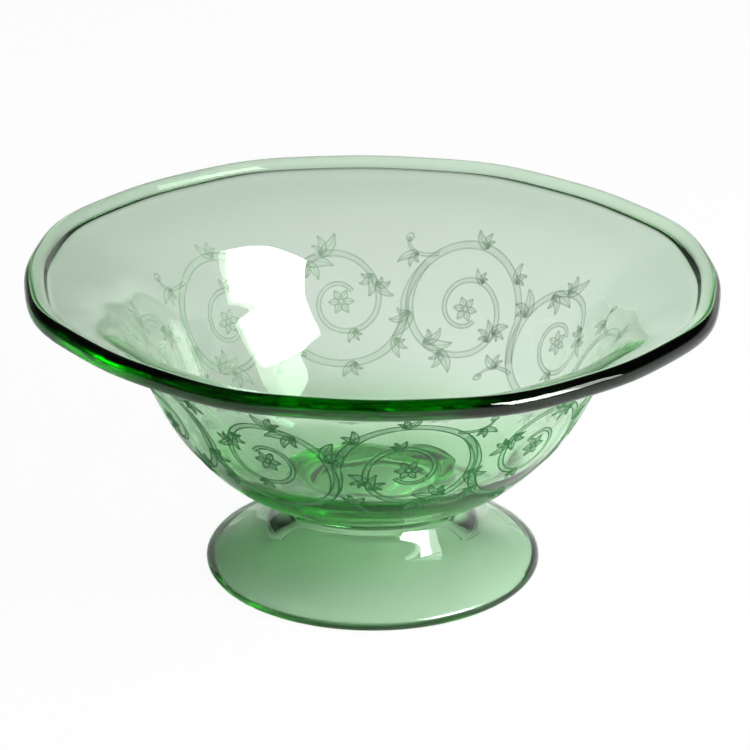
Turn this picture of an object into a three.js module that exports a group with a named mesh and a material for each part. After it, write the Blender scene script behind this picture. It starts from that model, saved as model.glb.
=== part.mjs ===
// Footed mayonnaise bowl in clear green glass: a flared bowl with a softly eight-sided rim, a short
// stem and a domed foot, with one hollow that runs up through the foot into the stem. The three are
// fused face to face while hot, so each joint is a flat seat: a ring between foot and stem, a disc
// below the bowl. Millimetres, +Z up, origin on the table below the stem's axis.
import * as THREE from 'three';

const { degToRad, lerp, smoothstep } = THREE.MathUtils;

// Foot: heights are above the table
const FOOT_RADIUS = 36.9;
const FOOT_HEIGHT = 10; // up to the seat of the stem
const FOOT_EDGE_THICKNESS = 3;
const FOOT_EDGE_SLOPE = degToRad(28);
const RESTING_RING_WIDTH = 1; // flat underside that touches the table
const BORE_RADIUS = 16; // of the hollow, where it passes from the foot into the stem

// Stem: stands on the foot and carries the bowl
const STEM_HEIGHT = 9.3;
const STEM_BASE_RADIUS = 23;
const STEM_BASE_SLOPE = degToRad(50); // shared with the foot, so the sweep runs on
const STEM_TOP_RADIUS = 19.2;
const STEM_TOP_SLOPE = degToRad(65);
const CEILING_THICKNESS = 2.3; // glass left between the hollow and the bowl's seat

// Bowl: rises are above its seat on the stem, the lip's height is above the table, radii are outside
const SEAT_SLOPE = degToRad(8);
const KNEE_RADIUS = 33.3; // where the flat bottom turns up into the cup
const KNEE_RISE = 4.7;
const KNEE_SLOPE = degToRad(39);
const WAIST_RADIUS = 48.2; // steepest part of the cup, below the flare
const WAIST_RISE = 24.7;
const WAIST_SLOPE = degToRad(65);
const RIM_RADIUS = 75; // to the outside of the lip, halfway between its corners and its flats
const LIP_HEIGHT = 67.1; // to the middle of the round lip
const LIP_SLOPE = degToRad(14);
const LIP_THICKNESS = 4.3; // the lip is flush with the wall's outside and steps up from its inside
const STEP_FROM = 0.875; // share of the flare where that step begins
const FLOOR_THICKNESS = 6;
const WALL_THICKNESS = 3;
const DISH_REACH = 0.5; // share of the cup over which the inside is one smooth dish

// Hand finishing of the rim: soft corners between sides that face the axes, and a lean towards +X
const RIM_SIDES = 8;
const CORNER_SWELL = 0.5; // rise and fall of the radius from corner to flat
const CORNER_SHARPNESS = 0.18; // extra rise at each corner
const RIM_DROP = 1.14; // of the lip's +X side, with as much lift on the other side

// How far a curve keeps the direction of its end, as a share of its chord
const ROUND_PULL = 0.35;
const FLARE_LOWER_PULL = 0.575;
const FLARE_UPPER_PULL = 0.365;
const VAULT_PULL = 0.32;
const DISH_CENTRE_PULL = 0.5;
const DISH_WALL_PULL = 0.3;
const STEP_PULL = 0.58;

// Facets
const TURN_SEGMENTS = 64;
const CURVE_STEPS = 6;
const FLARE_STEPS = 9;
const DISH_STEPS = 9;
const ROUND_STEPS = 8;
const SAME_POINT = 1e-6; // closer profile points are one

const LEVEL_INWARDS = Math.PI; // slope of a curve that reaches the axis
const LEVEL_OUTWARDS = 0; // slope of a curve that leaves the axis
const SEAT_HEIGHT = FOOT_HEIGHT + STEM_HEIGHT;

const glass = (name) => {
  const material = new THREE.MeshStandardMaterial({
    color: 0xa9d3ae,
    roughness: 0.04,
    metalness: 0,
    transparent: true,
    opacity: 0.55,
  });
  material.name = `${name}_glass`;
  return material;
};

// A point of a profile: distance from the axis, height
const at = (radius, height) => new THREE.Vector2(radius, height);
const heading = (slope) => at(Math.cos(slope), Math.sin(slope));

// Smooth curve from one profile point to another, with a direction and a pull at each end
function sweep(from, fromSlope, fromPull, to, toSlope, toPull) {
  const chord = from.distanceTo(to);
  const leave = from.clone().addScaledVector(heading(fromSlope), fromPull * chord);
  const arrive = to.clone().addScaledVector(heading(toSlope), -toPull * chord);
  return new THREE.CubicBezierCurve(from, leave, arrive, to);
}

function arc(centre, radius, fromAngle, toAngle, steps) {
  const points = [];
  for (let i = 0; i <= steps; i += 1) {
    const angle = fromAngle + ((toAngle - fromAngle) * i) / steps;
    points.push(centre.clone().addScaledVector(heading(angle), radius));
  }
  return points;
}

// Solid of revolution about Z. The profile runs outwards, up and back to where it began, or from
// the axis to the axis.
function turn(profile) {
  const apart = profile.filter((point, i) => i === 0 || point.distanceTo(profile[i - 1]) > SAME_POINT);
  return new THREE.LatheGeometry(apart, TURN_SEGMENTS).rotateX(Math.PI / 2);
}

function part(name, geometry) {
  const mesh = new THREE.Mesh(geometry, glass(name));
  mesh.name = name;
  return mesh;
}

function foot() {
  const edgeRadius = FOOT_EDGE_THICKNESS / 2;
  const edgeCentre = at(FOOT_RADIUS - edgeRadius, edgeRadius);
  const ringInside = at(edgeCentre.x - RESTING_RING_WIDTH, 0);
  const bore = at(BORE_RADIUS, FOOT_HEIGHT);
  const seatEdge = at(STEM_BASE_RADIUS, FOOT_HEIGHT);
  const edgeSlope = Math.PI - FOOT_EDGE_SLOPE;
  const seatSlope = Math.PI - STEM_BASE_SLOPE;
  const hollow = sweep(ringInside, edgeSlope, ROUND_PULL, bore, seatSlope, ROUND_PULL);
  const edge = arc(edgeCentre, edgeRadius, -Math.PI / 2, Math.PI / 2 - FOOT_EDGE_SLOPE, ROUND_STEPS);
  const top = sweep(edge.at(-1), edgeSlope, ROUND_PULL, seatEdge, seatSlope, ROUND_PULL);
  return turn([
    ...hollow.getPoints(CURVE_STEPS).reverse(),
    ...edge,
    ...top.getPoints(CURVE_STEPS),
    bore,
  ]);
}

function stem() {
  const base = at(STEM_BASE_RADIUS, FOOT_HEIGHT);
  const top = at(STEM_TOP_RADIUS, SEAT_HEIGHT);
  const bore = at(BORE_RADIUS, FOOT_HEIGHT);
  const ceiling = at(0, SEAT_HEIGHT - CEILING_THICKNESS);
  const baseSlope = Math.PI - STEM_BASE_SLOPE;
  const hollow = sweep(bore, baseSlope, VAULT_PULL, ceiling, LEVEL_INWARDS, VAULT_PULL);
  const side = sweep(base, baseSlope, ROUND_PULL, top, STEM_TOP_SLOPE, ROUND_PULL);
  return turn([
    ...hollow.getPoints(CURVE_STEPS).reverse(),
    ...side.getPoints(CURVE_STEPS),
    at(0, SEAT_HEIGHT),
  ]);
}

// Inside of the bowl's wall between two shares of a stretch of its outside
function wallInside(outside, fromShare, toShare, steps) {
  const points = [];
  for (let i = 0; i <= steps; i += 1) {
    const share = lerp(fromShare, toShare, i / steps);
    const along = outside.getTangent(share);
    const inwards = at(-along.y, along.x);
    points.push(outside.getPoint(share).addScaledVector(inwards, WALL_THICKNESS));
  }
  return points;
}

// Gives the round bowl its soft corners and its lean, both growing from the seat to the lip
function finishRim(geometry) {
  const points = geometry.attributes.position;
  for (let i = 0; i < points.count; i += 1) {
    const x = points.getX(i);
    const y = points.getY(i);
    const z = points.getZ(i);
    const growth = smoothstep(z, SEAT_HEIGHT, LIP_HEIGHT);
    const corner = RIM_SIDES * Math.atan2(y, x) + Math.PI;
    const swell = CORNER_SWELL * Math.cos(corner) + CORNER_SHARPNESS * Math.cos(2 * corner);
    const spread = 1 + (growth * swell) / RIM_RADIUS;
    const drop = (growth * RIM_DROP * x) / RIM_RADIUS;
    points.setXYZ(i, x * spread, y * spread, z - drop);
  }
  geometry.computeVertexNormals();
  return geometry;
}

function bowl() {
  const lipRadius = LIP_THICKNESS / 2;
  const lipCentre = at(RIM_RADIUS - lipRadius, LIP_HEIGHT);
  const lip = arc(lipCentre, lipRadius, LIP_SLOPE - Math.PI / 2, LIP_SLOPE + Math.PI / 2, ROUND_STEPS);
  const seatEdge = at(STEM_TOP_RADIUS, SEAT_HEIGHT);
  const knee = at(KNEE_RADIUS, SEAT_HEIGHT + KNEE_RISE);
  const waist = at(WAIST_RADIUS, SEAT_HEIGHT + WAIST_RISE);
  const bottom = sweep(seatEdge, SEAT_SLOPE, ROUND_PULL, knee, KNEE_SLOPE, ROUND_PULL);
  const cup = sweep(knee, KNEE_SLOPE, ROUND_PULL, waist, WAIST_SLOPE, ROUND_PULL);
  const flare = sweep(waist, WAIST_SLOPE, FLARE_LOWER_PULL, lip[0], LIP_SLOPE, FLARE_UPPER_PULL);
  const cupInside = wallInside(cup, DISH_REACH, 1, CURVE_STEPS);
  const flareInside = wallInside(flare, 0, STEP_FROM, FLARE_STEPS);
  const floor = at(0, SEAT_HEIGHT + FLOOR_THICKNESS);
  const cupSlope = cup.getTangent(DISH_REACH).angle();
  const dish = sweep(floor, LEVEL_OUTWARDS, DISH_CENTRE_PULL, cupInside[0], cupSlope, DISH_WALL_PULL);
  const flareSlope = flare.getTangent(STEP_FROM).angle();
  const step = sweep(flareInside.at(-1), flareSlope, STEP_PULL, lip.at(-1), LIP_SLOPE, STEP_PULL);
  const inside = [
    ...dish.getPoints(DISH_STEPS),
    ...cupInside,
    ...flareInside,
    ...step.getPoints(CURVE_STEPS),
  ];
  return finishRim(turn([
    at(0, SEAT_HEIGHT),
    ...bottom.getPoints(CURVE_STEPS),
    ...cup.getPoints(CURVE_STEPS),
    ...flare.getPoints(FLARE_STEPS),
    ...lip,
    ...inside.reverse(),
  ]));
}

const footedBowl = new THREE.Group();
footedBowl.add(part('foot', foot()), part('stem', stem()), part('bowl', bowl()));

export default footedBowl;
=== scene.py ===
import math

import bpy
import numpy as np
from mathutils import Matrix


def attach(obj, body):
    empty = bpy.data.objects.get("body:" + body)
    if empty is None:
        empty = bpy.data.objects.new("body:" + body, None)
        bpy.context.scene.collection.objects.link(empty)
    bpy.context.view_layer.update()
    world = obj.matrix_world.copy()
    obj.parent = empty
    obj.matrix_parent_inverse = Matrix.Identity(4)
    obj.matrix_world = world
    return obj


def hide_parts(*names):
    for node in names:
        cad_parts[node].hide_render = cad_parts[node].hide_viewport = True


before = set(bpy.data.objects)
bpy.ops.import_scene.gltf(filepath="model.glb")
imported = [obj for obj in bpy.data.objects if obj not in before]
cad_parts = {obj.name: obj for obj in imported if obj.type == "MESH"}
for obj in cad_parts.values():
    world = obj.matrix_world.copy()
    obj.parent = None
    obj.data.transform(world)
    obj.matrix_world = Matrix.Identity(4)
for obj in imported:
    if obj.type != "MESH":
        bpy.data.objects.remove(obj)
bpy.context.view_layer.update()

MM = 0.001

# Foot, heights above the table
FOOT_RADIUS = 36.9 * MM
FOOT_HEIGHT = 10 * MM
FOOT_EDGE_THICKNESS = 3 * MM
FOOT_EDGE_SLOPE = math.radians(28)
RESTING_RING_WIDTH = 1 * MM
BORE_RADIUS = 16 * MM

# Stem
STEM_HEIGHT = 9.3 * MM
STEM_BASE_RADIUS = 23 * MM
STEM_BASE_SLOPE = math.radians(50)
STEM_TOP_RADIUS = 19.2 * MM
STEM_TOP_SLOPE = math.radians(65)
CEILING_THICKNESS = 2.3 * MM

# Bowl, rises above its seat on the stem
SEAT_SLOPE = math.radians(8)
KNEE_RADIUS = 33.3 * MM
KNEE_RISE = 4.7 * MM
KNEE_SLOPE = math.radians(39)
WAIST_RADIUS = 48.2 * MM
WAIST_RISE = 24.7 * MM
WAIST_SLOPE = math.radians(65)
RIM_RADIUS = 75 * MM
LIP_HEIGHT = 67.1 * MM  # above the table
LIP_SLOPE = math.radians(14)
LIP_THICKNESS = 4.3 * MM
STEP_FROM = 0.875  # share of the flare where the inside begins to step up to the lip
FLOOR_THICKNESS = 6 * MM
WALL_THICKNESS = 3 * MM
DISH_REACH = 0.5  # share of the cup over which the inside is one smooth dish

# Hand finishing of the rim
RIM_SIDES = 8
CORNER_SWELL = 0.5 * MM
CORNER_SHARPNESS = 0.18 * MM
RIM_DROP = 1.14 * MM

# Shares of the chord over which a curve keeps its end's direction
ROUND_PULL = 0.35
FLARE_LOWER_PULL = 0.575
FLARE_UPPER_PULL = 0.365
VAULT_PULL = 0.32
DISH_CENTRE_PULL = 0.5
DISH_WALL_PULL = 0.3
STEP_PULL = 0.58

# Joints: fused pieces sink a little into each other, so the glass reads as one
SEAT_HEIGHT = FOOT_HEIGHT + STEM_HEIGHT
FUSED_DEPTH = 0.04 * MM
FUSED_INSET = 2 * FUSED_DEPTH  # of the sunken face from the edge of its seat
FUSED_SLACK = 0.1 * FUSED_DEPTH

# Unevenness of the glass: length and direction of each ripple
WAVE_HEIGHT = 0.09 * MM
CALM = 8 * MM  # stretch next to the seat and the lip over which the ripples die away
RIPPLES = (
    (17 * MM, (0.8, 0.5, 0.33)),
    (13 * MM, (-0.4, 0.85, 0.35)),
    (21 * MM, (0.2, -0.35, 0.92)),
    (9 * MM, (0.65, -0.7, 0.3)),
)

# Mesh fineness
TURN_SEGMENTS = 256
CURVE_STEPS = 48
ARC_STEPS = 20
GLASS_CREASE = math.radians(35)
SAME_POINT = 1e-8  # closer profile points are one
NO_LENGTH = 1e-12  # keeps a flat line's normals from a division by zero

# Colour of the glass
GLASS_TINT = (0.08, 0.83, 0.10)
GLASS_DENSITY = 68
GLASS_IOR = 1.5

# Etched band: a running vine of spirals, one to each lobe, on the outside of the wall
LOBES = 10
LOBE_START = math.radians(-9)
BAND_LOW = 27.5 * MM
BAND_HIGH = 58 * MM
VINE_WIDTH = 1.7 * MM
EYE_WIDTH = 0.8 * MM  # of the spiral's inner end, and of the tendril
SPIRAL_START = math.radians(40)
SPIRAL_TURNS = 1.5
SPIRAL_SHRINK = 0.24
SPIRAL_EASE = 1.1
SPIRAL_DRAWN = 220  # points before the curve is divided evenly
VINE_DRAWN = 60
TENDRIL_PLACE = 0.72  # share of the vine where the tendril leaves
TENDRIL_LENGTH = 10 * MM
TENDRIL_LEAN = 0.5  # radians off the vine, as are the next two
TENDRIL_BEND = 1.9
TENDRIL_SPRAY_LEAN = 0.9
TENDRIL_SPRAY = 0.5 * TENDRIL_LENGTH
TENDRIL_TAPER = 0.6
TENDRIL_BERRY = 0.9 * MM
PETALS = 6
PETAL_LENGTH = 2.3 * MM
PETAL_WIDTH = 0.65 * PETAL_LENGTH
PETAL_START = 0.7 * MM
FLOWER_EYE = 0.6 * MM
BERRY_POINTS = 9

# Sprays of leaves: share of the line where each leaves, side (1 is left, -1 right) and length
SPIRAL_SPRAYS = (
    (0.16, 1, 7.0 * MM),
    (0.33, 1, 6.4 * MM),
    (0.27, -1, 7.2 * MM),
    (0.5, -1, 5.4 * MM),
    (0.53, 1, 5.0 * MM),
    (0.7, 1, 3.8 * MM),
)
VINE_SPRAYS = ((0.2, 1, 5.0 * MM), (0.46, 1, 5.2 * MM))
SPRAY_LEAVES = ((0.25, 0.9, 1.0), (0.7, 1.5, 0.75), (1.15, 1.9, 0.5))  # radians off, curl, share of length
LEAF_WIDTH = 0.36  # share of its length
LEAF_ROOT = 0.65  # below 1, the leaf is fullest nearer its root
LEAF_FULLNESS = 0.9
LEAF_POINT = 0.03 * MM  # least half width of a leaf, and of a berry
BERRY_POINT = 0.02 * MM

# Etched layer: strokes rise from their edges to a ridge
STROKE_STEP = 0.35 * MM
LINE_WIDTH = 0.4 * MM
VEIN_WIDTH = 0.22 * MM
FILM_LOW = 0.01 * MM
FILL_RIDGE = 0.05 * MM
LINE_RIDGE = 0.07 * MM
FILM_CREASE = math.radians(60)
GRAIN_SCALE = 1800  # per metre
GRAIN_DETAIL = 3.0
GRAIN_RANGE = (0.35, 0.65)
FILM_ROUGHNESS = 0.6
FILM_SPECULAR = 0.2

# Outer faces of the etched layer, fill and lines, and its inner faces on the glass, frost and hairline:
# colours of the dark and light grains, and cover seen from a face's front and from behind.
# The outer colours are dark as painted shade of the relief, and the inner ones pale as painted light that
# comes through the glass.
# Fill outside: dark green as painted shade, over the random grain
FILL_PAINTED_SHADE_GRAINS = ((0.03, 0.2, 0.05), (0.09, 0.38, 0.12))
FILL_COVER = (0.42, 0.08)
# Frost on the glass side: pale as painted light from behind the glass, over the random grain
FROST_PAINTED_LIGHT_GRAINS = ((0.66, 0.76, 0.66), (0.8, 0.88, 0.8))
FROST_COVER = (0.08, 0.08)
# Lines outside: near black as painted shade of the relief, over the random grain
LINE_PAINTED_SHADE_GRAINS = ((0.008, 0.07, 0.015), (0.025, 0.16, 0.035))
LINE_COVER = (0.84, 0.24)
# Hairline on the glass side: pale as painted light from behind the glass, over the random grain
HAIRLINE_PAINTED_LIGHT_GRAINS = ((0.5, 0.62, 0.5), (0.66, 0.76, 0.66))
HAIRLINE_COVER = (0.12, 0.12)

# Camera, fitted to the photograph
CAMERA_DISTANCE = 740.5 * MM
CAMERA_ELEVATION = math.radians(22.88)
CAMERA_TARGET_HEIGHT = 44.07 * MM
CAMERA_SIDE = 0.5 * MM
CAMERA_LENS = 163.2
CAMERA_SENSOR = 36.0

# Floor
FLOOR_HALF = 4.0
FLOOR_SHADE = 0.9
FLOOR_ROUGHNESS = 0.9
GLOW_SEEN = 0.94  # share of its own white that the camera sees, and the glass
GLOW_THROUGH_GLASS = 0.05
GLOW_LEVEL_IN_GLASS = 0.75  # of that white; to the camera it is 1

# Room: levels away from the window and next to it, seen in the glass and lighting the floor
ROOM_FADE = 0.6
WALL_AWAY = 0.1
WALL_NEAR = 0.9
WALL_FOOT = 0.1
WALL_TOP = 0.4
CEILING_LEVEL = 0.02
AMBIENT_AWAY = 0.12
AMBIENT_NEAR = 0.66

# Window
WINDOW_POWER = 8.6
WINDOW_GLINT = 2.5  # times its plain level where the glass mirrors it, bends it, or casts it on the floor
WINDOW_BENT = 0.6
WINDOW_CAST = 1.9
WINDOW_AZIMUTH = math.radians(62)
WINDOW_ELEVATION = math.radians(33)
WINDOW_WIDTH = 0.62
WINDOW_HEIGHT = 0.35
WINDOW_DISTANCE = 0.8
WINDOW_GAP = 0.01  # keeps the two lamps of the window out of one plane
PANE_EDGE = 0.72  # share of the width where the dimmer pane begins
PANE_BLUR = 0.06
PANE_DIMMED = 0.25


def heading(slope):
    return np.array([math.cos(slope), math.sin(slope)])


def smooth(share):
    share = np.clip(share, 0.0, 1.0)
    return share * share * (3 - 2 * share)


def lengths(vectors):
    return np.linalg.norm(vectors, axis=1)


def sweep(start, start_slope, start_pull, end, end_slope, end_pull):
    """Points and unit tangents of a cubic curve in the (radius, height) half-plane."""
    start, end = np.array(start), np.array(end)
    chord = np.linalg.norm(end - start)
    leave = start + heading(start_slope) * start_pull * chord
    arrive = end - heading(end_slope) * end_pull * chord
    t = np.linspace(0, 1, CURVE_STEPS + 1)[:, None]
    points = (1 - t) ** 3 * start + 3 * (1 - t) ** 2 * t * leave + 3 * (1 - t) * t**2 * arrive + t**3 * end
    along = (1 - t) ** 2 * (leave - start) + 2 * (1 - t) * t * (arrive - leave) + t**2 * (end - arrive)
    return points, along / lengths(along)[:, None]


def arc(centre, radius, start_angle, end_angle, steps=ARC_STEPS):
    angles = np.linspace(start_angle, end_angle, steps + 1)
    return np.array(centre) + radius * np.stack([np.cos(angles), np.sin(angles)], axis=1)


def apart(line):
    """The line without points that repeat the one before."""
    line = np.array(line)
    return line[np.concatenate([[True], lengths(np.diff(line, axis=0)) > SAME_POINT])]


def finish_rim(points):
    """The rim's soft corners and lean, growing from the bowl's seat to its lip."""
    x, y, z = points.T
    growth = smooth((z - SEAT_HEIGHT) / (LIP_HEIGHT - SEAT_HEIGHT))
    corner = RIM_SIDES * np.arctan2(y, x) + math.pi
    swell = CORNER_SWELL * np.cos(corner) + CORNER_SHARPNESS * np.cos(2 * corner)
    spread = 1 + growth * swell / RIM_RADIUS
    drop = growth * RIM_DROP * x / RIM_RADIUS
    return np.stack([x * spread, y * spread, z - drop], axis=1)


def waves(points, strength):
    """Faint unevenness of hand-finished glass: crossing ripples that move points from or to the axis."""
    lift = np.zeros(len(points))
    for length, direction in RIPPLES:
        lift += np.sin(points @ (np.array(direction) * 2 * math.pi / length))
    outwards = points * (1, 1, 0)
    outwards /= lengths(outwards)[:, None] + SAME_POINT
    return points + outwards * (strength * WAVE_HEIGHT / len(RIPPLES) * lift)[:, None]


def finish_bowl(points):
    z = points[:, 2]
    calm = smooth((z - SEAT_HEIGHT) / CALM) * smooth((LIP_HEIGHT - z) / CALM)
    return finish_rim(waves(points, calm))


def finish_foot(points):
    """Ripples that are strongest halfway up the foot."""
    half_heights = points[:, 2] / (FOOT_HEIGHT / 2)
    return waves(points, smooth(half_heights) * smooth(2 - half_heights))


def mesh_object(name, points, faces, crease=None):
    mesh = bpy.data.meshes.new(name)
    mesh.from_pydata(points.tolist(), [], faces)
    mesh.update()
    mesh.polygons.foreach_set("use_smooth", [True] * len(mesh.polygons))
    if crease is not None:
        mesh.set_sharp_from_angle(angle=crease)
    thing = bpy.data.objects.new(name, mesh)
    bpy.context.scene.collection.objects.link(thing)
    return thing


def turn(name, profile, finish=None, closed=True):
    """A solid of revolution. The profile runs outwards, up and back, from axis to axis or around a bore."""
    profile = apart(profile)
    low, rings, high = (profile[0], profile[1:-1], profile[-1]) if closed else (None, profile, None)
    angles = np.arange(TURN_SEGMENTS) * 2 * math.pi / TURN_SEGMENTS
    x = np.outer(rings[:, 0], np.cos(angles))
    y = np.outer(rings[:, 0], np.sin(angles))
    z = np.repeat(rings[:, 1:], TURN_SEGMENTS, axis=1)
    points = np.stack([x, y, z], axis=2).reshape(-1, 3)
    if closed:
        points = np.vstack([points, [0, 0, low[1]], [0, 0, high[1]]])
    if finish:
        points = finish(points)
    low_pole, high_pole = len(points) - 2, len(points) - 1
    last = (len(rings) - 1) * TURN_SEGMENTS
    faces = []
    for j in range(TURN_SEGMENTS):
        k = (j + 1) % TURN_SEGMENTS
        if closed:
            faces.append((low_pole, k, j))
            faces.append((high_pole, last + j, last + k))
        else:
            faces.append((last + j, last + k, k, j))
        for i in range(len(rings) - 1):
            a, b = i * TURN_SEGMENTS, (i + 1) * TURN_SEGMENTS
            faces.append((a + j, a + k, b + k, b + j))
    thing = mesh_object(name, points, faces, GLASS_CREASE)
    mark_fused(thing.data)
    return thing


def mark_fused(mesh):
    """Face attribute that is 1 on the faces where two pieces are melted together."""
    points = np.empty(len(mesh.vertices) * 3)
    mesh.vertices.foreach_get("co", points)
    points = points.reshape(-1, 3)
    radius = np.hypot(points[:, 0], points[:, 1])
    on_joint = np.zeros(len(points), dtype=bool)
    for height, reach in ((FOOT_HEIGHT, STEM_BASE_RADIUS), (SEAT_HEIGHT, STEM_TOP_RADIUS)):
        level = np.abs(points[:, 2] - height) < FUSED_DEPTH + FUSED_SLACK
        on_joint |= level & (radius < reach + FUSED_SLACK)
    fused = [float(all(on_joint[v] for v in face.vertices)) for face in mesh.polygons]
    mesh.attributes.new("fused", "FLOAT", "FACE").data.foreach_set("value", fused)


def foot():
    edge_radius = FOOT_EDGE_THICKNESS / 2
    edge_centre = (FOOT_RADIUS - edge_radius, edge_radius)
    ring_inside = (edge_centre[0] - RESTING_RING_WIDTH, 0)
    bore = (BORE_RADIUS, FOOT_HEIGHT)
    seat_edge = (STEM_BASE_RADIUS, FOOT_HEIGHT)
    foot_slope, stem_slope = math.pi - FOOT_EDGE_SLOPE, math.pi - STEM_BASE_SLOPE
    hollow, _ = sweep(ring_inside, foot_slope, ROUND_PULL, bore, stem_slope, ROUND_PULL)
    edge = arc(edge_centre, edge_radius, -math.pi / 2, math.pi / 2 - FOOT_EDGE_SLOPE)
    top, _ = sweep(edge[-1], foot_slope, ROUND_PULL, seat_edge, stem_slope, ROUND_PULL)
    fused_height = FOOT_HEIGHT + FUSED_DEPTH
    fused_outside = (STEM_BASE_RADIUS - FUSED_INSET, fused_height)
    fused_inside = (BORE_RADIUS + FUSED_INSET, fused_height)
    profile = [*hollow[::-1], *edge, *top, fused_outside, fused_inside]
    return turn("foot_glass", profile, finish_foot, closed=False)


def stem():
    base = (STEM_BASE_RADIUS, FOOT_HEIGHT)
    top = (STEM_TOP_RADIUS, SEAT_HEIGHT)
    bore = (BORE_RADIUS, FOOT_HEIGHT)
    ceiling = (0, SEAT_HEIGHT - CEILING_THICKNESS)
    base_slope = math.pi - STEM_BASE_SLOPE
    hollow, _ = sweep(bore, base_slope, VAULT_PULL, ceiling, math.pi, VAULT_PULL)
    side, _ = sweep(base, base_slope, ROUND_PULL, top, STEM_TOP_SLOPE, ROUND_PULL)
    fused_height = SEAT_HEIGHT + FUSED_DEPTH
    fused_edge = (STEM_TOP_RADIUS - FUSED_INSET, fused_height)
    fused_centre = (0, fused_height)
    return turn("stem_glass", [*hollow[::-1], *side, fused_edge, fused_centre])


def inside_of(outside, along):
    """The wall's inside, next to a stretch of its outside with the given tangents."""
    return outside + np.stack([-along[:, 1], along[:, 0]], axis=1) * WALL_THICKNESS


def bowl_wall():
    """Outside and inside of the bowl's wall from the middle of its floor to the lip, and the rounded lip."""
    bead = LIP_THICKNESS / 2
    lip_start, lip_end = LIP_SLOPE - math.pi / 2, LIP_SLOPE + math.pi / 2
    lip = arc((RIM_RADIUS - bead, LIP_HEIGHT), bead, lip_start, lip_end, 2 * ARC_STEPS)
    seat_edge = (STEM_TOP_RADIUS, SEAT_HEIGHT)
    knee = (KNEE_RADIUS, SEAT_HEIGHT + KNEE_RISE)
    waist = (WAIST_RADIUS, SEAT_HEIGHT + WAIST_RISE)
    bottom, _ = sweep(seat_edge, SEAT_SLOPE, ROUND_PULL, knee, KNEE_SLOPE, ROUND_PULL)
    cup, cup_along = sweep(knee, KNEE_SLOPE, ROUND_PULL, waist, WAIST_SLOPE, ROUND_PULL)
    flare, flare_along = sweep(waist, WAIST_SLOPE, FLARE_LOWER_PULL, lip[0], LIP_SLOPE, FLARE_UPPER_PULL)
    dish_end = round(DISH_REACH * CURVE_STEPS)
    step_start = round(STEP_FROM * CURVE_STEPS)
    cup_inside = inside_of(cup, cup_along)[dish_end:]
    flare_inside = inside_of(flare, flare_along)[: step_start + 1]
    floor = (0, SEAT_HEIGHT + FLOOR_THICKNESS)
    cup_slope = math.atan2(cup_along[dish_end, 1], cup_along[dish_end, 0])
    dish, _ = sweep(floor, 0, DISH_CENTRE_PULL, cup_inside[0], cup_slope, DISH_WALL_PULL)
    flare_slope = math.atan2(flare_along[step_start, 1], flare_along[step_start, 0])
    step, _ = sweep(flare_inside[-1], flare_slope, STEP_PULL, lip[-1], LIP_SLOPE, STEP_PULL)
    return np.vstack([bottom, cup, flare]), np.vstack([dish, cup_inside, flare_inside, step]), lip


def bowl():
    outside, inside, lip = bowl_wall()
    return turn("bowl_glass", [(0, SEAT_HEIGHT), *outside, *lip, *inside[::-1]], finish_bowl)


def feed(tree, socket, value):
    """Links a socket to another node's output, or sets it to a constant."""
    if isinstance(value, bpy.types.NodeSocket):
        tree.links.new(value, socket)
    else:
        socket.default_value = value


def combine(tree, operation, *values):
    node = tree.nodes.new("ShaderNodeMath")
    node.operation = operation
    for socket, value in zip(node.inputs, values):
        feed(tree, socket, value)
    return node.outputs[0]


def blend(tree, factor, first, second):
    node = tree.nodes.new("ShaderNodeMix")
    feed(tree, node.inputs["Factor"], factor)
    feed(tree, node.inputs["A"], first)
    feed(tree, node.inputs["B"], second)
    return node.outputs["Result"]


def ramp(tree, value, start, end, first, second, kind="LINEAR"):
    """From the first value where the input is at its start to the second where it is at its end."""
    node = tree.nodes.new("ShaderNodeMapRange")
    node.interpolation_type = kind
    feed(tree, node.inputs["Value"], value)
    feed(tree, node.inputs["From Min"], start)
    feed(tree, node.inputs["From Max"], end)
    feed(tree, node.inputs["To Min"], first)
    feed(tree, node.inputs["To Max"], second)
    return node.outputs["Result"]


def new_material(name):
    material = bpy.data.materials.new(name)
    material.use_nodes = True
    return material, material.node_tree, material.node_tree.nodes["Principled BSDF"]


def green_glass():
    """Clear glass that is green in its depth. Where pieces are fused, light passes straight on."""
    material, tree, surface = new_material("green_glass")
    surface.inputs["Base Color"].default_value = (1, 1, 1, 1)
    surface.inputs["Roughness"].default_value = 0.0
    surface.inputs["IOR"].default_value = GLASS_IOR
    surface.inputs["Transmission Weight"].default_value = 1.0
    fused = tree.nodes.new("ShaderNodeAttribute")
    fused.attribute_name = "fused"
    feed(tree, surface.inputs["IOR"], ramp(tree, fused.outputs["Fac"], 0, 1, GLASS_IOR, 1))
    tint = tree.nodes.new("ShaderNodeVolumeAbsorption")
    tint.inputs["Color"].default_value = (*GLASS_TINT, 1)
    tint.inputs["Density"].default_value = GLASS_DENSITY
    feed(tree, tree.nodes["Material Output"].inputs["Volume"], tint.outputs["Volume"])
    return material


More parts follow.
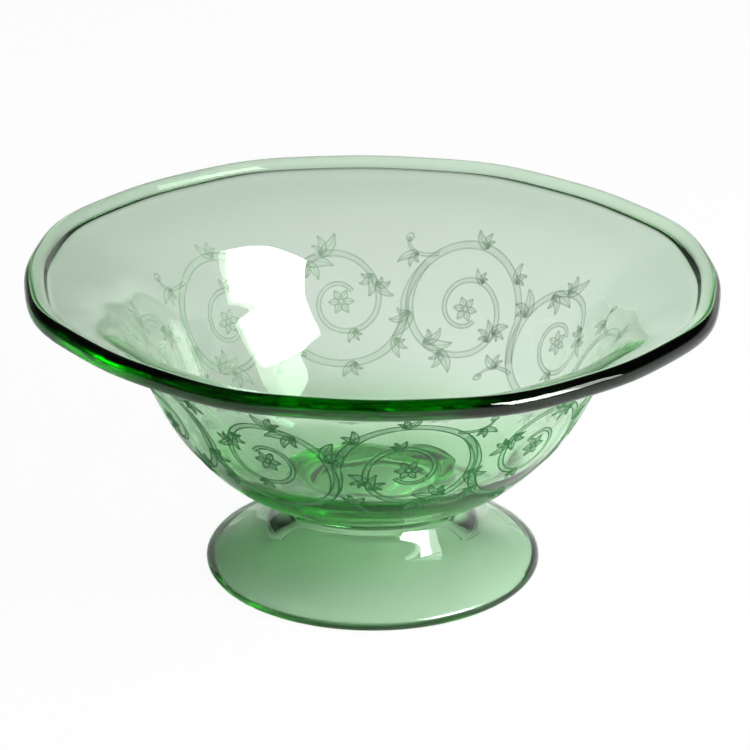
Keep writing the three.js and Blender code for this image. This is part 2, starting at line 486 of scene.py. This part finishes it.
def etched_glass(name, grains_with_painted_light_and_shade, cover):
    """Acid-etched glass: a thin matt layer with the grain that the acid leaves, in colours darkened as
    painted shade for the outer faces and lightened as painted light for the faces against the glass.
    """
    material, tree, surface = new_material(name)
    place = tree.nodes.new("ShaderNodeTexCoord")
    grain = tree.nodes.new("ShaderNodeTexNoise")
    grain.inputs["Scale"].default_value = GRAIN_SCALE
    grain.inputs["Detail"].default_value = GRAIN_DETAIL
    feed(tree, grain.inputs["Vector"], place.outputs["Object"])
    # The ramp's colours hold the random grain together with painted shade (fill, lines) and painted light
    # (frost, hairline)
    shade = tree.nodes.new("ShaderNodeValToRGB")
    for stop, position, colour in zip(shade.color_ramp.elements, GRAIN_RANGE, grains_with_painted_light_and_shade):
        stop.position = position
        stop.color = (*colour, 1)
    feed(tree, shade.inputs["Fac"], grain.outputs["Fac"])
    feed(tree, surface.inputs["Base Color"], shade.outputs["Color"])
    surface.inputs["Roughness"].default_value = FILM_ROUGHNESS
    surface.inputs["Specular IOR Level"].default_value = FILM_SPECULAR
    side = tree.nodes.new("ShaderNodeNewGeometry")
    feed(tree, surface.inputs["Alpha"], ramp(tree, side.outputs["Backfacing"], 0, 1, *cover))
    return material


def run_along(points):
    """Distance of each point from the first, along the line."""
    return np.concatenate([[0], np.cumsum(lengths(np.diff(points, axis=0)))])


class Wall:
    """The outside of the wall, unrolled: sideways from a lobe's middle, and up from the band's middle."""

    def __init__(self):
        outside, _, _ = bowl_wall()
        self.profile = apart(outside)
        self.run = run_along(self.profile)
        self.slope = np.gradient(self.profile, self.run, axis=0)
        band = np.interp((BAND_LOW, BAND_HIGH), self.profile[:, 1], self.run)
        self.middle = band.mean()
        self.pitch = 2 * math.pi * np.interp(self.middle, self.run, self.profile[:, 0]) / LOBES

    def place(self, flat, lift, lobe):
        """Points in space of flat points, lifted off the wall."""
        run = self.middle + flat[:, 1]
        radius = np.interp(run, self.run, self.profile[:, 0])
        height = np.interp(run, self.run, self.profile[:, 1])
        outwards = np.interp(run, self.run, self.slope[:, 1])
        downwards = np.interp(run, self.run, self.slope[:, 0])
        angle = LOBE_START + lobe * 2 * math.pi / LOBES + flat[:, 0] / radius
        reach = radius + outwards * lift
        level = height - downwards * lift
        return finish_bowl(np.stack([reach * np.cos(angle), reach * np.sin(angle), level], axis=1))


def divide(points):
    """The same flat line in even steps."""
    run = run_along(points)
    even = np.linspace(0, run[-1], int(run[-1] / STROKE_STEP) + 1)
    return np.stack([np.interp(even, run, points[:, 0]), np.interp(even, run, points[:, 1])], axis=1)


def sideways(points, closed=False):
    """Unit normals to the left of a flat line."""
    if closed:
        ahead = np.roll(points, -1, axis=0) - np.roll(points, 1, axis=0)
    else:
        ahead = np.gradient(points, axis=0)
    ahead /= lengths(ahead)[:, None] + NO_LENGTH
    return np.stack([-ahead[:, 1], ahead[:, 0]], axis=1)


class Film:
    """A thin layer on the wall, made of strokes with a low ridge along their middle."""

    def __init__(self, wall, ridge):
        self.wall, self.ridge = wall, ridge
        self.points, self.faces, self.inner, self.count = [], [], [], 0

    def stroke(self, line, half_width, lobe, closed=False):
        side = sideways(line, closed) * np.broadcast_to(half_width, len(line))[:, None]
        rows = len(line)
        left = self.wall.place(line + side, FILM_LOW, lobe)
        ridge = self.wall.place(line, self.ridge, lobe)
        right = self.wall.place(line - side, FILM_LOW, lobe)
        first = self.count
        self.points.append(np.stack([left, ridge, right], axis=1).reshape(-1, 3))
        self.count += 3 * rows
        for i in range(rows if closed else rows - 1):
            a, b = first + 3 * i, first + 3 * ((i + 1) % rows)
            self.faces += [(a + 2, b + 2, b + 1, a + 1), (a + 1, b + 1, b, a), (a, b, b + 2, a + 2)]
            self.inner += [False, False, True]
        if not closed:
            last = first + 3 * (rows - 1)
            self.faces += [(first, first + 2, first + 1), (last + 2, last, last + 1)]
            self.inner += [False, False]

    def build(self, name, outer, inner):
        """The mesh, with one material outside, dark as painted shade, and one on the faces against the
        glass, pale as painted light.
        """
        thing = mesh_object(name, np.vstack(self.points), self.faces, FILM_CREASE)
        thing.data.materials.append(outer)
        thing.data.materials.append(inner)
        thing.data.polygons.foreach_set("material_index", np.array(self.inner, dtype=np.int32))
        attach(thing, "root")


def bent_line(start, length, headings):
    """A flat line of even steps, one to each heading."""
    moves = np.stack([np.cos(headings), np.sin(headings)], axis=1) * length / len(headings)
    return np.vstack([start, start + np.cumsum(moves, axis=0)])


def step_shares(length, least):
    """Middle of each step of a line, as a share of its length."""
    steps = max(int(length / STROKE_STEP), least)
    return (np.arange(steps) + 0.5) / steps


def leaf(start, direction, length, bend, width):
    """Line and half widths of a leaf that is fullest near its root and ends in a point."""
    line = bent_line(start, length, direction + bend * step_shares(length, least=6))
    share = np.linspace(0, 1, len(line))
    fullness = np.sin(math.pi * share**LEAF_ROOT) ** LEAF_FULLNESS
    return line, width / 2 * fullness + LEAF_POINT, "leaf"


def tendril(start, direction, length, bend, width):
    """A thin stalk whose turn tightens towards its end."""
    line = bent_line(start, length, direction + bend * step_shares(length, least=10) ** 2)
    return line, np.linspace(width, TENDRIL_TAPER * width, len(line)) / 2, "stalk"


def berry(centre, radius):
    share = np.linspace(-1, 1, BERRY_POINTS)
    line = np.stack([centre[0] + radius * share, np.full(BERRY_POINTS, centre[1])], axis=1)
    return line, radius * np.sqrt(1 - share**2) + BERRY_POINT, "berry"


def spray(start, direction, side, size):
    """Leaves that part from a stalk on one side and curl away from it."""
    leaves = []
    for off, curl, share in SPRAY_LEAVES:
        length = size * share
        leaves.append(leaf(start, direction + side * off, length, side * curl, LEAF_WIDTH * length))
    return leaves


def place_on(line, share):
    """Point of a flat line and its direction there."""
    index = int(share * (len(line) - 2))
    ahead = line[index + 1] - line[index]
    return line[index], math.atan2(ahead[1], ahead[0])


def flower():
    petals = []
    for petal in range(PETALS):
        direction = 2 * math.pi * petal / PETALS
        petals.append(leaf(PETAL_START * heading(direction), direction, PETAL_LENGTH, 0.0, PETAL_WIDTH))
    return [*petals, berry((0, 0), FLOWER_EYE)]


def vine_lobe(radius):
    """Strokes of one lobe, whose vine runs over the top: (line, half widths, kind)."""
    vine = divide(arc((0, 0), radius, math.pi, 0, VINE_DRAWN - 1))
    share = np.linspace(0, 1, SPIRAL_DRAWN)
    turning = SPIRAL_START - share * SPIRAL_TURNS * 2 * math.pi
    shrink = radius * SPIRAL_SHRINK ** (share**SPIRAL_EASE)
    spiral = divide(np.stack([shrink * np.cos(turning), shrink * np.sin(turning)], axis=1))
    strokes = [
        (vine, np.full(len(vine), VINE_WIDTH / 2), "stalk"),
        (spiral, np.linspace(VINE_WIDTH, EYE_WIDTH, len(spiral)) / 2, "stalk"),
    ]
    for line, sprays in ((spiral, SPIRAL_SPRAYS), (vine, VINE_SPRAYS)):
        for place, side, size in sprays:
            strokes += spray(*place_on(line, place), side, size)
    start, direction = place_on(vine, TENDRIL_PLACE)
    stalk = tendril(start, direction + TENDRIL_LEAN, TENDRIL_LENGTH, TENDRIL_BEND, EYE_WIDTH)
    line = stalk[0]
    strokes.append(stalk)
    strokes += spray(line[len(line) // 2], direction + TENDRIL_SPRAY_LEAN, -1, TENDRIL_SPRAY)
    strokes.append(berry(line[-1], TENDRIL_BERRY))
    return strokes + flower()


def etched_band():
    wall = Wall()
    fill = Film(wall, FILL_RIDGE)
    lines = Film(wall, LINE_RIDGE)
    for lobe in range(LOBES):
        flip = np.array([1, -1 if lobe % 2 else 1])
        for line, half_width, kind in vine_lobe(wall.pitch / 2):
            line = line * flip
            fill.stroke(line, half_width, lobe)
            side = sideways(line) * half_width[:, None]
            if kind == "leaf":
                lines.stroke(line[1:-1], VEIN_WIDTH / 2, lobe)
            if kind == "stalk":
                lines.stroke(line + side, LINE_WIDTH / 2, lobe)
                lines.stroke(line - side, LINE_WIDTH / 2, lobe)
            else:
                outline = np.vstack([line + side, (line - side)[::-1]])
                lines.stroke(outline, LINE_WIDTH / 2, lobe, closed=True)
    # Outer materials are dark as painted shade; the frost and hairline on the glass side are pale as painted
    # light
    frost_painted_light = etched_glass("etched_frost_painted_light", FROST_PAINTED_LIGHT_GRAINS, FROST_COVER)
    fill.build("etched_fill", etched_glass("etched_fill", FILL_PAINTED_SHADE_GRAINS, FILL_COVER), frost_painted_light)
    hairline_painted_light = etched_glass("etched_hairline_painted_light", HAIRLINE_PAINTED_LIGHT_GRAINS, HAIRLINE_COVER)
    lines.build("etched_lines", etched_glass("etched_lines", LINE_PAINTED_SHADE_GRAINS, LINE_COVER), hairline_painted_light)


def white_floor():
    """Pale floor that keeps shadows but shows the camera, and a little the glass, mostly its own white."""
    material, tree, plain = new_material("white_floor")
    plain.inputs["Base Color"].default_value = (FLOOR_SHADE, FLOOR_SHADE, FLOOR_SHADE, 1)
    plain.inputs["Roughness"].default_value = FLOOR_ROUGHNESS
    plain.inputs["Specular IOR Level"].default_value = 0.0
    ray = tree.nodes.new("ShaderNodeLightPath").outputs
    in_glass = combine(tree, "MAXIMUM", ray["Is Glossy Ray"], ray["Is Transmission Ray"])
    through = combine(tree, "MULTIPLY", in_glass, GLOW_THROUGH_GLASS)
    share = combine(tree, "MULTIPLY_ADD", ray["Is Camera Ray"], GLOW_SEEN, through)
    glow = tree.nodes.new("ShaderNodeEmission")
    feed(tree, glow.inputs["Strength"], ramp(tree, ray["Is Camera Ray"], 0, 1, GLOW_LEVEL_IN_GLASS, 1))
    mix = tree.nodes.new("ShaderNodeMixShader")
    feed(tree, mix.inputs[0], share)
    feed(tree, mix.inputs[1], plain.outputs["BSDF"])
    feed(tree, mix.inputs[2], glow.outputs["Emission"])
    feed(tree, tree.nodes["Material Output"].inputs["Surface"], mix.outputs["Shader"])
    return material


def lay_floor():
    corners = np.array([(-1, -1, 0), (1, -1, 0), (1, 1, 0), (-1, 1, 0)]) * FLOOR_HALF
    floor = mesh_object("floor", corners, [(0, 1, 2, 3)])
    floor.data.materials.append(white_floor())


def studio_world():
    """White to the camera; to the glass, walls below a dark ceiling; to the floor, plain ambient light."""
    world = bpy.data.worlds.new("studio")
    bpy.context.scene.world = world
    world.use_nodes = True
    tree = world.node_tree
    background = tree.nodes["Background"]
    place = tree.nodes.new("ShaderNodeTexCoord")
    split = tree.nodes.new("ShaderNodeSeparateXYZ")
    feed(tree, split.inputs[0], place.outputs["Generated"])
    lit_side = ramp(tree, split.outputs["X"], -ROOM_FADE, ROOM_FADE, 0, 1)
    wall_level = blend(tree, lit_side, WALL_AWAY, WALL_NEAR)
    walls = ramp(tree, split.outputs["Z"], WALL_FOOT, WALL_TOP, wall_level, CEILING_LEVEL, "SMOOTHSTEP")
    ambient = blend(tree, lit_side, AMBIENT_AWAY, AMBIENT_NEAR)
    ray = tree.nodes.new("ShaderNodeLightPath").outputs
    in_glass = combine(tree, "MAXIMUM", ray["Is Glossy Ray"], ray["Is Transmission Ray"])
    before_floor = combine(tree, "LESS_THAN", ray["Diffuse Depth"], 0.5)
    room = blend(tree, combine(tree, "MULTIPLY", in_glass, before_floor), ambient, walls)
    feed(tree, background.inputs["Strength"], blend(tree, ray["Is Camera Ray"], room, 1))
    background.inputs["Color"].default_value = (1, 1, 1, 1)


def window_light(name, behind=0):
    """One of the lamps that make up the window to the right of the camera."""
    lamp = bpy.data.lights.new(name, "AREA")
    lamp.shape = "RECTANGLE"
    lamp.size = WINDOW_WIDTH
    lamp.size_y = WINDOW_HEIGHT
    lamp.energy = WINDOW_POWER
    thing = bpy.data.objects.new(name, lamp)
    bpy.context.scene.collection.objects.link(thing)
    level = math.cos(WINDOW_ELEVATION)
    side, front = math.sin(WINDOW_AZIMUTH), -math.cos(WINDOW_AZIMUTH)
    towards = np.array([level * side, level * front, math.sin(WINDOW_ELEVATION)])
    thing.location = towards * (WINDOW_DISTANCE + behind) + np.array([0, 0, CAMERA_TARGET_HEIGHT])
    thing.rotation_euler = (math.pi / 2 - WINDOW_ELEVATION, 0, WINDOW_AZIMUTH)
    return thing


def window_on_floor():
    """The window's plain light on the floor and on the etched layer."""
    lamp = window_light("window", behind=WINDOW_GAP)
    lamp.visible_glossy = False
    lamp.visible_transmission = False


def window_in_glass():
    """The window as the glass mirrors it, bends it and casts it on the floor, with its dimmer pane."""
    lamp = window_light("window_glint")
    lamp.visible_diffuse = False
    lamp.data.use_nodes = True
    tree = lamp.data.node_tree
    ray = tree.nodes.new("ShaderNodeLightPath").outputs
    direct = ramp(tree, ray["Is Transmission Ray"], 0, 1, WINDOW_GLINT, WINDOW_BENT)
    level = blend(tree, ray["Diffuse Depth"], direct, WINDOW_CAST)
    place = tree.nodes.new("ShaderNodeNewGeometry")
    split = tree.nodes.new("ShaderNodeSeparateXYZ")
    feed(tree, split.inputs[0], place.outputs["Parametric"])
    pane = ramp(tree, split.outputs["X"], PANE_EDGE + PANE_BLUR, PANE_EDGE, PANE_DIMMED, 1, "SMOOTHSTEP")
    feed(tree, tree.nodes["Emission"].inputs["Strength"], combine(tree, "MULTIPLY", level, pane))


def camera():
    data = bpy.data.cameras.new("camera")
    data.lens = CAMERA_LENS
    data.sensor_width = CAMERA_SENSOR
    thing = bpy.data.objects.new("camera", data)
    bpy.context.scene.collection.objects.link(thing)
    away = CAMERA_DISTANCE * math.cos(CAMERA_ELEVATION)
    above = CAMERA_TARGET_HEIGHT + CAMERA_DISTANCE * math.sin(CAMERA_ELEVATION)
    thing.location = (CAMERA_SIDE, -away, above)
    thing.rotation_euler = (math.pi / 2 - CAMERA_ELEVATION, 0, 0)
    bpy.context.scene.camera = thing


GLASS = green_glass()
for build, node in ((foot, "foot"), (stem, "stem"), (bowl, "bowl")):
    piece = build()
    piece.data.materials.append(GLASS)
    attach(piece, "root")
    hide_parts(node)
etched_band()
lay_floor()
studio_world()
window_on_floor()
window_in_glass()
camera()

# Light passes many glass faces on its way
scene = bpy.context.scene
scene.view_settings.view_transform = "Standard"
scene.cycles.max_bounces = 24
scene.cycles.glossy_bounces = 16
scene.cycles.transmission_bounces = 24
scene.cycles.transparent_max_bounces = 32
